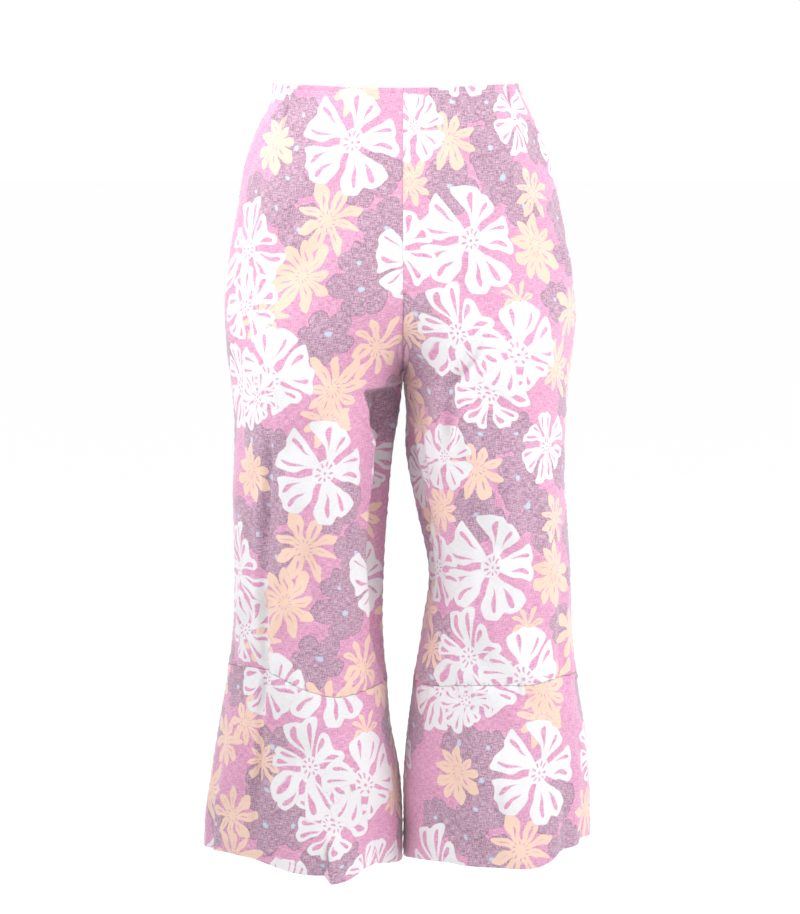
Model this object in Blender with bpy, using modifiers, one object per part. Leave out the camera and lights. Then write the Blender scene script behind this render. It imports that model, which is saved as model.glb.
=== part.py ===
"""Capri pants filled out as if worn: eight cut panels of light woven cotton.

Four panels run from the waist edge to a seam below the knee, and four flared lower panels
hang from that seam. The frame is in metres, +Z up, with its origin at the middle of the
waist edge, +Y towards the back, and "left" the side at -X, as seen from the front.
"""

import math

import bmesh
import bpy

COLLECTION = "capri_pants"

# Driving sizes of the cloth and its seams
WALL = 0.0012
SEAM_GAP = 0.0003
EDGE_STRIP = 0.012  # share of a panel's width in the narrow strip along each seam
COLUMN_ROOM = 0.03  # no even column stands closer than this share to a dart or sharp fold

# Levels below the waist edge
RISE = 0.296  # waist edge to crotch
CROTCH_TURN = 0.130  # height over which the centre seams turn in under the body
TURN_POWER = 2.0  # how softly the turn runs out into the leg

# The body's outline, one row for each level below the waist edge, in metres.
# out_*: side seam from the centre line; in_*: inner leg from the centre line;
# front, back: greatest depth before and behind the origin; side: depth of the side seam.
LEVEL_COLUMNS = (
    "drop", "out_left", "out_right", "in_left", "in_right", "front", "back", "side",
)
LEVELS = (
    (0.000, 0.131, 0.115, 0.0000, 0.0000, 0.090, 0.087, 0.000),
    (0.016, 0.131, 0.121, 0.0000, 0.0000, 0.092, 0.088, 0.000),
    (0.045, 0.146, 0.135, 0.0000, 0.0000, 0.097, 0.092, 0.001),
    (0.080, 0.158, 0.148, 0.0000, 0.0000, 0.101, 0.099, 0.002),
    (0.125, 0.166, 0.158, 0.0000, 0.0000, 0.104, 0.110, 0.004),
    (0.175, 0.175, 0.167, 0.0000, 0.0000, 0.104, 0.122, 0.006),
    (0.225, 0.179, 0.174, 0.0000, 0.0000, 0.101, 0.128, 0.008),
    (0.260, 0.178, 0.172, 0.0000, 0.0000, 0.098, 0.126, 0.008),
    (0.296, 0.174, 0.168, 0.0000, 0.0000, 0.096, 0.120, 0.008),
    (0.330, 0.171, 0.165, 0.0037, 0.0032, 0.094, 0.112, 0.007),
    (0.370, 0.171, 0.163, 0.0105, 0.0026, 0.091, 0.103, 0.006),
    (0.430, 0.172, 0.166, 0.0154, 0.0138, 0.087, 0.093, 0.004),
    (0.490, 0.171, 0.170, 0.0194, 0.0262, 0.084, 0.087, 0.003),
    (0.550, 0.173, 0.172, 0.0204, 0.0195, 0.083, 0.086, 0.003),
    (0.600, 0.179, 0.177, 0.0170, 0.0118, 0.084, 0.091, 0.004),
    (0.650, 0.188, 0.185, 0.0125, 0.0050, 0.087, 0.097, 0.004),
    (0.700, 0.196, 0.190, 0.0033, 0.0008, 0.091, 0.102, 0.004),
    (0.740, 0.202, 0.192, 0.0008, 0.0006, 0.094, 0.105, 0.004),
    (0.795, 0.206, 0.192, 0.0006, 0.0006, 0.097, 0.107, 0.004),
)

# Panel edges that run across the legs: how far below the waist edge each one lies, at
# even shares of the way from the centre or inner leg to the side seam.
EDGE_LINES = {
    ("waist", "front"): (0.005, 0.004, 0.002, 0.001, 0.000),
    ("waist", "back"): (0.004, 0.004, 0.003, 0.001, 0.000),
    ("knee", "front_left"): (
        0.600, 0.603, 0.606, 0.608, 0.599, 0.585, 0.581, 0.584, 0.588,
    ),
    ("knee", "front_right"): (
        0.602, 0.601, 0.600, 0.596, 0.595, 0.596, 0.593, 0.593, 0.595,
    ),
    ("knee", "back_left"): (0.600, 0.594, 0.590, 0.588, 0.588),
    ("knee", "back_right"): (0.602, 0.597, 0.593, 0.594, 0.595),
    ("hem", "front_left"): (
        0.790, 0.786, 0.780, 0.786, 0.783, 0.772, 0.768, 0.772, 0.776,
    ),
    ("hem", "front_right"): (
        0.788, 0.781, 0.776, 0.776, 0.777, 0.778, 0.767, 0.763, 0.765,
    ),
    ("hem", "back_left"): (0.790, 0.782, 0.776, 0.777, 0.776),
    ("hem", "back_right"): (0.788, 0.782, 0.777, 0.771, 0.765),
}

# Waist darts: share of the way from the centre to the side seam at the waist edge and at
# the dart's tip, how far below the waist edge the tip lies, and the depth of the crease.
DART_COLUMNS = ("quarter", "top", "tip", "tip_drop", "depth")
DARTS = (
    ("front_left", 0.67, 0.57, 0.075, 0.0016),
    ("front_right", 0.69, 0.585, 0.072, 0.0016),
    ("back_left", 0.50, 0.48, 0.095, 0.0016),
    ("back_right", 0.50, 0.48, 0.095, 0.0016),
)

# Main folds, which run on across the knee seam: share of the way from the inner edge to
# the side seam and level of each end, the fold's half width along the cloth, and its
# height (a trough where negative). A quarter is an upper panel and the one below it.
FOLD_COLUMNS = (
    "quarter", "top", "top_drop", "foot", "foot_drop", "half_width", "height",
)
FOLDS = (
    ("front_left", 0.66, 0.350, 0.70, 0.640, 0.018, -0.0050),
    ("front_left", 0.30, 0.300, 0.20, 0.520, 0.020, -0.0060),
    ("front_left", 0.42, 0.320, 0.34, 0.560, 0.020, 0.0030),
    ("front_right", 0.30, 0.240, 0.33, 0.430, 0.020, 0.0040),
    ("front_right", 0.20, 0.300, 0.16, 0.500, 0.018, -0.0060),
    ("back_left", 0.35, 0.330, 0.22, 0.480, 0.024, -0.0050),
    ("back_right", 0.36, 0.320, 0.24, 0.500, 0.024, -0.0050),
    ("back_left", 0.62, 0.400, 0.66, 0.640, 0.022, -0.0040),
    ("back_right", 0.60, 0.380, 0.68, 0.620, 0.022, -0.0040),
    ("front_left", 0.70, 0.560, 0.64, 0.860, 0.018, -0.0040),
    ("front_left", 0.88, 0.640, 0.90, 0.900, 0.018, -0.0060),
    ("front_right", 0.76, 0.660, 0.74, 0.900, 0.020, -0.0060),
    ("front_right", 0.34, 0.620, 0.30, 0.900, 0.024, -0.0040),
    ("back_left", 0.30, 0.600, 0.28, 0.900, 0.026, -0.0070),
    ("back_left", 0.66, 0.620, 0.68, 0.900, 0.026, -0.0070),
    ("back_right", 0.36, 0.600, 0.34, 0.900, 0.026, -0.0070),
    ("back_right", 0.72, 0.620, 0.74, 0.900, 0.026, -0.0070),
)

# The one sharp fold: at the left hem the cloth towards the inner leg lies over the rest.
SHARP_FOLD = {
    "quarter": "front_left",
    "share": 0.42,
    "top_drop": 0.742,
    "foot_drop": 0.792,
    "step": 0.008,
    "step_width": 0.02,  # share of the panel's width in which the step rises
    "fade_width": 0.20,  # share in which it dies away towards the inner leg
    "dip": 0.007,  # how far its corner hangs below the hem
}

# Grid steps of a panel, across and down
ACROSS = 15
WAIST_ROWS = 9
TURN_ROWS = 9
LEG_ROWS = 14
LOWER_ROWS = 8

# Colour of the cloth on each kind of panel, and how dull it is
PANEL_COLOURS = {
    "front": (0.78, 0.33, 0.57, 1.0),
    "back": (0.70, 0.28, 0.50, 1.0),
    "lower_front": (0.85, 0.52, 0.42, 1.0),
    "lower_back": (0.48, 0.27, 0.40, 1.0),
}
CLOTH_ROUGHNESS = 0.85


def smooth_between(knots, values, at):
    """Reads a smooth curve through (knots, values) at one place."""
    last = len(knots) - 1
    if at <= knots[0]:
        return values[0]
    if at >= knots[last]:
        return values[last]
    i = max(k for k in range(last) if knots[k] <= at)
    slopes = []
    for k in (i, i + 1):
        before, after = max(k - 1, 0), min(k + 1, last)
        slopes.append((values[after] - values[before]) / (knots[after] - knots[before]))
    span = knots[i + 1] - knots[i]
    t = (at - knots[i]) / span
    start = (1 + 2 * t) * (1 - t) ** 2 * values[i] + t * (1 - t) ** 2 * span * slopes[0]
    end = t * t * (3 - 2 * t) * values[i + 1] + t * t * (t - 1) * span * slopes[1]
    return start + end


LEVEL_DROPS = [row[0] for row in LEVELS]


def level_value(column, drop):
    """One column of the outline table, read at any level."""
    index = LEVEL_COLUMNS.index(column)
    return smooth_between(LEVEL_DROPS, [row[index] for row in LEVELS], drop)


def edge_drop(edge, quarter, share):
    """Level of a waist edge, knee seam or hem at a share of the way to the side seam."""
    line = EDGE_LINES[(edge, quarter)]
    knots = [k / (len(line) - 1) for k in range(len(line))]
    return smooth_between(knots, line, share)


def section(side, face, drop):
    """The half loop of one panel at one level, as centre, half sizes and angle range.

    Above the crotch the loop is cut off at the centre line, and its centre moves out
    from there as the centre seam turns in, until the loop is a whole leg at the crotch.
    """
    name = "left" if side < 0 else "right"
    out = level_value("out_" + name, drop)
    seam_y = level_value("side", drop)
    depth = level_value("front" if face < 0 else "back", drop)
    deep = depth + seam_y if face < 0 else depth - seam_y
    if drop >= RISE:
        inner = max(level_value("in_" + name, drop), SEAM_GAP / 2)
        return (out + inner) / 2, (out - inner) / 2, deep, seam_y, math.pi
    above = min((RISE - drop) / CROTCH_TURN, 1.0)
    width = out - SEAM_GAP / 2
    centre = width / 2 * (1 - above**TURN_POWER) ** 2
    half = width - centre
    return SEAM_GAP / 2 + centre, half, deep, seam_y, math.acos(-centre / half)


def surface_point(side, face, drop, share, lift=0.0):
    """A point of the cloth's outside, lifted along the section's outward direction."""
    centre, half, deep, seam_y, inner_angle = section(side, face, drop)
    angle = inner_angle * (1 - share)
    out_x, out_y = math.cos(angle) / half, math.sin(angle) / deep
    length = math.hypot(out_x, out_y)
    x = centre + half * math.cos(angle) + lift * out_x / length
    y = SEAM_GAP / 2 + deep * math.sin(angle) + lift * out_y / length
    return side * x, seam_y + face * y, -drop


def bump(distance):
    """A soft hump, 1 at its middle and 0 from a distance of 1."""
    return math.cos(math.pi / 2 * distance) ** 2 if abs(distance) < 1 else 0.0


def fold_height(fold, drop, share, girth):
    """How far one fold lifts the cloth at a point; girth is the panel's width there."""
    way = (drop - fold["top_drop"]) / (fold["foot_drop"] - fold["top_drop"])
    if not 0 < way < 1:
        return 0.0
    middle = fold["top"] + (fold["foot"] - fold["top"]) * way
    across = (share - middle) * girth / fold["half_width"]
    return fold["height"] * bump(across) * math.sin(math.pi * way) ** 0.7


def sharp_fold_part(drop, share):
    """How much of the sharp hem fold is there: steep at its edge, dying away inwards."""
    span = SHARP_FOLD["foot_drop"] - SHARP_FOLD["top_drop"]
    way = min(max((drop - SHARP_FOLD["top_drop"]) / span, 0.0), 1.0)
    inwards = SHARP_FOLD["share"] - share
    if inwards < 0:
        return 0.0
    rise = min(inwards / SHARP_FOLD["step_width"], 1.0)
    return way * rise * bump(inwards / SHARP_FOLD["fade_width"])


def seam_fade(share):
    """Takes folds to nothing at a panel's long edges, where it is sewn to its neighbour."""
    return min(1.0, 8 * share * (1 - share))


def lift_at(quarter, side, face, drop, share):
    """All folds of a quarter together, at one point."""
    _, half, deep, _, inner_angle = section(side, face, drop)
    girth = inner_angle * math.sqrt((half * half + deep * deep) / 2)
    lift = 0.0
    for row in FOLDS:
        fold = dict(zip(FOLD_COLUMNS, row))
        if fold["quarter"] == quarter:
            lift += fold_height(fold, drop, share, girth)
    if quarter == SHARP_FOLD["quarter"]:
        lift += SHARP_FOLD["step"] * sharp_fold_part(drop, share)
    return lift * seam_fade(share)


def dart_of(quarter):
    """The waist dart of a quarter."""
    rows = [dict(zip(DART_COLUMNS, row)) for row in DARTS]
    return next(row for row in rows if row["quarter"] == quarter)


def columns_of(quarter):
    """Places of the columns: even ones, a narrow strip at each edge, dart and sharp fold."""
    marks = [dart_of(quarter)["top"]]
    if quarter == SHARP_FOLD["quarter"]:
        marks += [SHARP_FOLD["share"], SHARP_FOLD["share"] - SHARP_FOLD["step_width"]]
    even = [k / ACROSS for k in range(1, ACROSS)]
    clear = [s for s in even if all(abs(s - mark) > COLUMN_ROOM for mark in marks)]
    return sorted([0.0, EDGE_STRIP, 1 - EDGE_STRIP, 1.0] + marks + clear)


def upper_drop(quarter, face_name, row, share):
    """Level of a row of an upper panel: waist rows, crotch turn, then the leg."""
    waist = edge_drop("waist", face_name, share)
    turn_top = RISE - CROTCH_TURN
    if row < WAIST_ROWS:
        return waist + (turn_top - waist) * row / WAIST_ROWS
    if row <= WAIST_ROWS + TURN_ROWS:
        angle = math.pi / 2 * (row - WAIST_ROWS) / TURN_ROWS
        return turn_top + CROTCH_TURN * math.sin(angle)
    knee = edge_drop("knee", quarter, share) - SEAM_GAP / 2
    way = (row - WAIST_ROWS - TURN_ROWS) / LEG_ROWS
    return RISE + (knee - RISE) * way


def column_share(dart, share, drop):
    """Leans a panel's columns so that the one on the dart follows its slant."""
    if drop > RISE:
        return share
    down = min(drop / dart["tip_drop"], 1.0)
    back = min(max((drop - dart["tip_drop"]) / (RISE - dart["tip_drop"]), 0.0), 1.0)
    top = dart["top"]
    near = share / top if share < top else (1 - share) / (1 - top)
    return share + (dart["tip"] - top) * down * (1 - back) * near


def dart_lift(dart, share, drop):
    """The crease of the dart, on its own column only."""
    if share != dart["top"] or drop >= dart["tip_drop"]:
        return 0.0
    return -dart["depth"] * (1 - drop / dart["tip_drop"])


def upper_panel_points(quarter, side, face):
    """Rows of points of a panel from the waist edge to the knee seam."""
    face_name = "front" if face < 0 else "back"
    dart = dart_of(quarter)
    rows = []
    for row in range(WAIST_ROWS + TURN_ROWS + LEG_ROWS + 1):
        points = []
        for share in columns_of(quarter):
            drop = upper_drop(quarter, face_name, row, share)
            place = column_share(dart, share, drop)
            lift = lift_at(quarter, side, face, drop, place)
            lift += dart_lift(dart, share, drop)
            points.append(surface_point(side, face, drop, place, lift))
        rows.append(points)
    return rows


def lower_panel_points(quarter, side, face):
    """Rows of points of a flared panel from the knee seam to the hem."""
    rows = []
    for row in range(LOWER_ROWS + 1):
        points = []
        for share in columns_of(quarter):
            knee = edge_drop("knee", quarter, share) + SEAM_GAP / 2
            hem = edge_drop("hem", quarter, share)
            if quarter == SHARP_FOLD["quarter"]:
                hem += SHARP_FOLD["dip"] * sharp_fold_part(hem, share)
            drop = knee + (hem - knee) * row / LOWER_ROWS
            lift = lift_at(quarter, side, face, drop, share)
            points.append(surface_point(side, face, drop, share, lift))
        rows.append(points)
    return rows


def cloth_material(name, colour):
    """Plain dull cotton in one colour."""
    material = bpy.data.materials.new(name)
    material.use_nodes = True
    shader = material.node_tree.nodes["Principled BSDF"]
    shader.inputs["Base Color"].default_value = colour
    shader.inputs["Roughness"].default_value = CLOTH_ROUGHNESS
    shader.inputs["Metallic"].default_value = 0.0
    return material


def panel_object(name, rows, outwards, material):
    """A wall of cloth through rows of points: a grid laid on them, then made thick."""
    across, down = len(rows[0]), len(rows)
    sheet = bmesh.new()
    bmesh.ops.create_grid(sheet, x_segments=across - 1, y_segments=down - 1, size=1.0)
    sheet.verts.ensure_lookup_table()
    for index, vert in enumerate(sheet.verts):
        vert.co = rows[index // across][index % across]
    if not outwards:
        bmesh.ops.reverse_faces(sheet, faces=sheet.faces)
    mesh = bpy.data.meshes.new(name)
    sheet.to_mesh(mesh)
    sheet.free()
    mesh.materials.append(material)
    mesh.shade_smooth()
    panel = bpy.data.objects.new(name, mesh)
    wall = panel.modifiers.new("wall", "SOLIDIFY")
    wall.thickness = WALL
    wall.offset = -1.0
    wall.use_even_offset = True
    return panel


def main():
    for old in list(bpy.data.objects):
        bpy.data.objects.remove(old, do_unlink=True)
    collection = bpy.data.collections.new(COLLECTION)
    bpy.context.scene.collection.children.link(collection)
    waist = bpy.data.objects.new("waist_line", None)
    collection.objects.link(waist)

    makers = {"": upper_panel_points, "lower_": lower_panel_points}
    for level, points_of in makers.items():
        for face_name, face in (("front", -1), ("back", 1)):
            colour = PANEL_COLOURS[level + face_name]
            for side_name, side in (("left", -1), ("right", 1)):
                quarter = f"{face_name}_{side_name}"
                name = level + quarter
                material = cloth_material(name + "_cloth", colour)
                rows = points_of(quarter, side, face)
                panel = panel_object(name, rows, side * face > 0, material)
                collection.objects.link(panel)
                panel.parent = waist


main()
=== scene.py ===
import math
from collections import namedtuple

import bmesh
import bpy
import numpy as np
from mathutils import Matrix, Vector


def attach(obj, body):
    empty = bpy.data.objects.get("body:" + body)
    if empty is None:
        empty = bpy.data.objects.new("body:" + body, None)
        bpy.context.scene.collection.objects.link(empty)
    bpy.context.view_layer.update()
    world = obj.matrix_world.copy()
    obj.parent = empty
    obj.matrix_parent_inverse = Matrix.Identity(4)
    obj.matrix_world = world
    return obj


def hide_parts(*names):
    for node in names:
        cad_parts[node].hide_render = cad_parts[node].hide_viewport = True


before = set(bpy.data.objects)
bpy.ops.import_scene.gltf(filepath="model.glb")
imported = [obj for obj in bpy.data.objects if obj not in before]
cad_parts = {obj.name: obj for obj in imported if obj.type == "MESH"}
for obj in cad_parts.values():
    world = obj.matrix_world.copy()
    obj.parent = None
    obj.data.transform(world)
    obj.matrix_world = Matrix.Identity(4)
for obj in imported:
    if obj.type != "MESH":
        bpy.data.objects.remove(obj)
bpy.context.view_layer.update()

# ---------------------------------------------------------------------------
# The printed cloth: one light slub cotton, dyed pink and woven with dark flecks.
# Three kinds of flower are printed on it, mauve under peach under white, and the
# wrong side shows the print only faintly.

REPEAT_DOWN = 0.324  # height of the print's repeat, in metres
STRIP_WIDTH = {"right": 0.250, "left": 0.285}
PETAL_REACH = 1.18  # furthest that a drawn petal reaches, in flower radii
NO_FLOWER = (5.0, 5.0, 5.5)  # a place so far from a flower's middle that nothing is drawn

# Two strips of the repeat, laid side by side, with each flower's place across and down
# and its radius in millimetres
FLOWER_STRIPS = {
    "right": {
        "white": (
            (58, 152, 52), (34, 245, 49), (94, 263, 50), (56, 302, 44), (8, 42, 36),
            (125, 33, 38), (-17, 160, 44), (204, 66, 36),
        ),
        "peach": (
            (45, 56, 36), (133, 160, 36), (139, 108, 28), (4, 95, 26), (97, 212, 24),
            (146, 280, 34), (176, 226, 30), (206, 14, 34), (212, 204, 30), (234, 240, 28),
            (197, 298, 32), (222, 118, 30),
        ),
        "mauve": (
            (50, 20, 36), (46, 98, 32), (125, 121, 30), (90, 62, 36), (100, 93, 36),
            (160, 58, 28), (184, 132, 30), (186, 170, 28), (147, 212, 25), (-5, 225, 30),
            (-8, 303, 35), (20, 302, 28), (86, 18, 26), (238, 268, 34), (170, 310, 28),
        ),
    },
    "left": {
        "white": (
            (-52, 57, 51), (-162, 165, 50), (-110, 288, 49), (42, 52, 38), (23, 170, 42),
            (-162, 298, 46), (-146, 221, 40), (-127, -14, 32),
        ),
        "peach": (
            (-48, 6, 34), (-138, 58, 31), (-69, 133, 40), (-91, 187, 39), (-4, 257, 38),
            (-42, 299, 39), (-122, 230, 26), (34, 106, 32), (-212, 208, 32),
        ),
        "mauve": (
            (-131, 28, 29), (-104, 32, 24), (-110, 64, 32), (-115, 94, 33), (-98, 141, 31),
            (-128, 122, 26), (-163, 106, 27), (-24, 88, 32), (-42, 102, 22), (-11, 139, 32),
            (-27, 198, 37), (-32, 173, 28), (-57, 245, 34), (-203, 20, 32), (-200, 262, 32),
            (46, 319, 42),
        ),
    },
}
PETALS = {"white": (5, 6), "peach": (8, 9), "mauve": (5, 5)}
PRINT_ORDER = ("mauve", "peach", "white")
TURN_STEP = 0.618  # turns from one flower of the list to the next
SEED_STEP = 0.377


def flower_layers(strip_name):
    """Sorts a strip's flowers into layers in which none overlap.

    A flower's last number holds its petals, and in its fraction the seed of its own shape.
    """
    layers = []
    flowers = [(kind, *row) for kind, rows in FLOWER_STRIPS[strip_name].items() for row in rows]
    for index, (kind, across, down, radius) in enumerate(flowers):
        turn = 2 * math.pi * (index * TURN_STEP % 1)
        petals = PETALS[kind][index % 2] + 0.05 + 0.9 * ((index * SEED_STEP + 0.6) % 1)
        flower = (across / 1000, down / 1000, radius / 1000, turn, petals)
        for layer in layers:
            if layer[0] == kind and all(
                flower_distance(flower, other, strip_name) > PETAL_REACH * (flower[2] + other[2])
                for other in layer[1]
            ):
                layer[1].append(flower)
                break
        else:
            layers.append((kind, [flower]))
    return sorted(layers, key=lambda layer: PRINT_ORDER.index(layer[0]))


def nearest_copy(difference, period):
    return (difference + period / 2) % period - period / 2


def flower_distance(one, other, strip_name):
    across = nearest_copy(one[0] - other[0], STRIP_WIDTH[strip_name])
    down = nearest_copy(one[1] - other[1], REPEAT_DOWN)
    return math.hypot(across, down)


STRIP_LAYERS = {name: flower_layers(name) for name in FLOWER_STRIPS}
LAYER_NAMES = []
for kind in PRINT_ORDER:
    most = max(
        sum(layer[0] == kind for layer in layers) for layers in STRIP_LAYERS.values()
    )
    LAYER_NAMES += [f"{kind}_{number}" for number in range(most)]


def lay_print(mesh, fabric, strip_name):
    """Writes each flower's own coordinates on the faces that it covers.

    fabric holds the place on the cloth of every face corner, as faces x 4 x 2.
    """

    def write(name, local):
        layer = mesh.attributes.new(name, "FLOAT_VECTOR", "CORNER")
        layer.data.foreach_set("vector", local.astype(np.float32).ravel())

    middle = fabric.mean(axis=1)
    nowhere = np.tile(np.array(NO_FLOWER), (len(fabric), 4, 1))
    counts = dict.fromkeys(PRINT_ORDER, 0)
    for kind, flowers in STRIP_LAYERS[strip_name]:
        local = nowhere.copy()
        best = np.full(len(fabric), PETAL_REACH)
        for across, down, radius, turn, petals in flowers:
            near = np.stack(
                [
                    nearest_copy(middle[:, 0] - across, STRIP_WIDTH[strip_name]),
                    nearest_copy(middle[:, 1] - down, REPEAT_DOWN),
                ],
                axis=1,
            )
            distance = np.hypot(near[:, 0], near[:, 1]) / radius
            mine = distance < best
            best[mine] = distance[mine]
            place = (fabric[mine] - middle[mine][:, None] + near[mine][:, None]) / radius
            local[mine, :, 0] = place[..., 0] * math.cos(turn) - place[..., 1] * math.sin(turn)
            local[mine, :, 1] = place[..., 0] * math.sin(turn) + place[..., 1] * math.cos(turn)
            local[mine, :, 2] = petals
        write(f"{kind}_{counts[kind]}", local)
        counts[kind] += 1
    for name in LAYER_NAMES:
        if name not in mesh.attributes:
            write(name, nowhere)
    chart = mesh.uv_layers.new(name="cloth")
    chart.data.foreach_set("uv", fabric.astype(np.float32).ravel())


def set_inputs(tree, node, inputs):
    """Sets each input to a value, or links it to the socket or Number given for it."""
    for label, value in inputs.items():
        if isinstance(value, Number):
            value = value.socket
        if isinstance(value, bpy.types.NodeSocket):
            tree.links.new(value, node.inputs[label])
        else:
            node.inputs[label].default_value = value


def add_node(tree, kind, inputs, **settings):
    node = tree.nodes.new(kind)
    for label, value in settings.items():
        setattr(node, label, value)
    set_inputs(tree, node, inputs)
    return node


class Number:
    """A value in a node tree, so that a drawing can be written as a formula."""

    def __init__(self, tree, socket):
        self.tree, self.socket = tree, socket

    def math(self, operation, *others, first=None):
        items = (self, *others) if first is None else (first, self)
        node = add_node(self.tree, "ShaderNodeMath", dict(enumerate(items)), operation=operation)
        return Number(self.tree, node.outputs[0])

    def __add__(self, other):
        return self.math("ADD", other)

    def __sub__(self, other):
        return self.math("SUBTRACT", other)

    def __rsub__(self, other):
        return self.math("SUBTRACT", first=other)

    def __mul__(self, other):
        return self.math("MULTIPLY", other)

    def __truediv__(self, other):
        return self.math("DIVIDE", other)

    def step(self, low, high):
        """0 below low and 1 above high, with a soft change between them."""
        limits = {0: self, 1: low, 2: high}
        node = add_node(self.tree, "ShaderNodeMapRange", limits, interpolation_type="SMOOTHSTEP")
        return Number(self.tree, node.outputs[0])

    def positive(self):
        return self.math("MAXIMUM", 0.0)


def new_group(name, place, **outputs):
    """A node group that works its outputs out from one place."""
    group = bpy.data.node_groups.new(name, "ShaderNodeTree")
    group.interface.new_socket(place, in_out="INPUT", socket_type="NodeSocketVector")
    for label, kind in outputs.items():
        group.interface.new_socket(label, in_out="OUTPUT", socket_type="NodeSocket" + kind)
    return group, group.nodes.new("NodeGroupInput"), group.nodes.new("NodeGroupOutput")


def petal_grid(group, start, wobble):
    """Polar coordinates of a flower drawn by hand: radius, petal number and place in it."""
    parts = add_node(group, "ShaderNodeSeparateXYZ", {0: start.outputs["Flower"]})
    x, y, code = (Number(group, parts.outputs[k]) for k in range(3))
    petals = code.math("FLOOR")
    seed = code.math("FRACT")
    shift = {"X": x + seed * 31.0, "Y": y + seed * 17.0, "Z": seed * 7.0}
    shifted = add_node(group, "ShaderNodeCombineXYZ", shift)
    noise = add_node(
        group, "ShaderNodeTexNoise", {"Vector": shifted.outputs[0], "Scale": 1.5, "Detail": 1.0}
    )
    wave = add_node(group, "ShaderNodeSeparateColor", {0: noise.outputs["Color"]})
    x = x + (Number(group, wave.outputs[0]) - 0.5) * wobble
    y = y + (Number(group, wave.outputs[1]) - 0.5) * wobble
    radius = (x * x + y * y).math("SQRT")
    around = y.math("ARCTAN2", x) / (2 * math.pi)
    place = around * petals + petals
    petal = (place + 0.5).math("FLOOR")
    offset = place - petal
    number = petal - (petal / petals).math("FLOOR") * petals
    key = {"X": number, "Y": (seed * 91.0).math("FLOOR")}
    key = add_node(group, "ShaderNodeCombineXYZ", key).outputs[0]
    chance = add_node(group, "ShaderNodeTexWhiteNoise", {"Vector": key}, noise_dimensions="2D")
    draws = add_node(group, "ShaderNodeSeparateColor", {0: chance.outputs["Color"]})
    random = [Number(group, draws.outputs[k]) for k in range(3)]
    width = radius * (2 * math.pi) / petals
    return radius, around, offset, width, random, seed


def centre_dashes(radius, around, count, low, high, half_width):
    """Short strokes that ring the middle of a flower."""
    spoke = (around * count).math("PINGPONG", 0.5)
    aside = spoke * (2 * math.pi / count) * radius
    band = radius.step(low, low + 0.03) * (1.0 - radius.step(high - 0.03, high))
    return band * (1.0 - aside.step(half_width * 0.6, half_width * 1.3))


EDGE = 0.012  # softness of a printed edge; all lengths in a flower are in its radii

# White: five or six petals that widen like clubs, each with a tear-shaped slit near each side
white_flower, start, end = new_group("white flower", "Flower", Ink="Float", Shape="Float")
radius, around, offset, width, random, seed = petal_grid(white_flower, start, 0.46)
aside = (offset + (random[1] - 0.5) * 0.14).math("ABSOLUTE")
right_half = offset.step(-0.002, 0.002)
draw = random[1] * right_half + random[2] * (1.0 - right_half)
tip = random[0] * 0.30 + 0.76 - (1.0 - aside.step(0.0, 0.14)) * 0.055
breadth = radius.step(0.14, 0.60) * 0.120 + random[2] * 0.06 + 0.285 - seed * 0.04
side_room = ((breadth - aside) * width).math("MAXIMUM", 0.23 - radius)
petal = side_room.math("SMOOTH_MIN", tip - radius, 0.20)
slit_place = (aside - 0.205).math("ABSOLUTE") * width
slit_start = draw * 0.20 + 0.26
way = ((radius - slit_start) / (tip - slit_start - 0.100)).math("MAXIMUM", 0.0)
slit = way.math("POWER", 0.9) * (1.0 - way.math("POWER", 8.0)).positive().math("SQRT")
slit = slit * (draw * 0.036 + seed * 0.044 + 0.040) - slit_place
ink = petal.step(-EDGE, EDGE) * (1.0 - slit.step(0.0, 2 * EDGE))
ink = ink * (1.0 - centre_dashes(radius, around, 9.0, 0.09, 0.20, 0.020))
ink = ink * radius.step(0.020, 0.040)
shape = petal.step(-EDGE, EDGE).math("MAXIMUM", 1.0 - radius.step(0.30, 0.42))
set_inputs(white_flower, end, {"Ink": ink, "Shape": shape})

# Peach: eight or nine narrow uneven petals, each with one fine slit
peach_flower, start, end = new_group("peach flower", "Flower", Ink="Float", Shape="Float")
radius, around, offset, width, random, seed = petal_grid(peach_flower, start, 0.42)
reach = random[0] * 0.32 + 0.72
aside = (offset + (random[1] - 0.5) * 0.20).math("ABSOLUTE") * width
rounding = ((reach - radius) / 0.24).math("MINIMUM", 1.0).positive().math("SQRT")
breadth = (radius.step(0.05, 0.80) * 0.085 + random[2] * 0.03 + seed * 0.05 + 0.040) * rounding
petal = (breadth - aside).math("MAXIMUM", 0.24 - radius)
way = ((radius - 0.26) / 0.40).math("MAXIMUM", 0.0).math("MINIMUM", 1.0)
slit = (way * math.pi).math("SINE") * (random[2] * 0.026 + 0.014) - aside
ink = petal.step(-EDGE, EDGE) * (1.0 - slit.step(0.0, 2 * EDGE))
ink = ink * (1.0 - centre_dashes(radius, around, 11.0, 0.12, 0.24, 0.013))
shape = petal.step(-EDGE, EDGE).math("MAXIMUM", 1.0 - radius.step(0.24, 0.34))
set_inputs(peach_flower, end, {"Ink": ink, "Shape": shape})

# Mauve: five rounded lobes with a darker rim and one pale dot in the middle
mauve_flower, start, end = new_group(
    "mauve flower", "Flower", Ink="Float", Dot="Float", Rim="Float"
)
radius, around, offset, width, random, seed = petal_grid(mauve_flower, start, 0.44)
lobe = (1.0 - (offset * 1.9).math("POWER", 2.0)).positive().math("SQRT")
petal = lobe * (random[0] * 0.20 + 0.28) + 0.46 - radius
dot = 1.0 - radius.step(0.050, 0.110)
rim = 1.0 - petal.step(0.010, 0.050)
set_inputs(mauve_flower, end, {"Ink": petal.step(-EDGE, EDGE), "Dot": dot, "Rim": rim})

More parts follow.
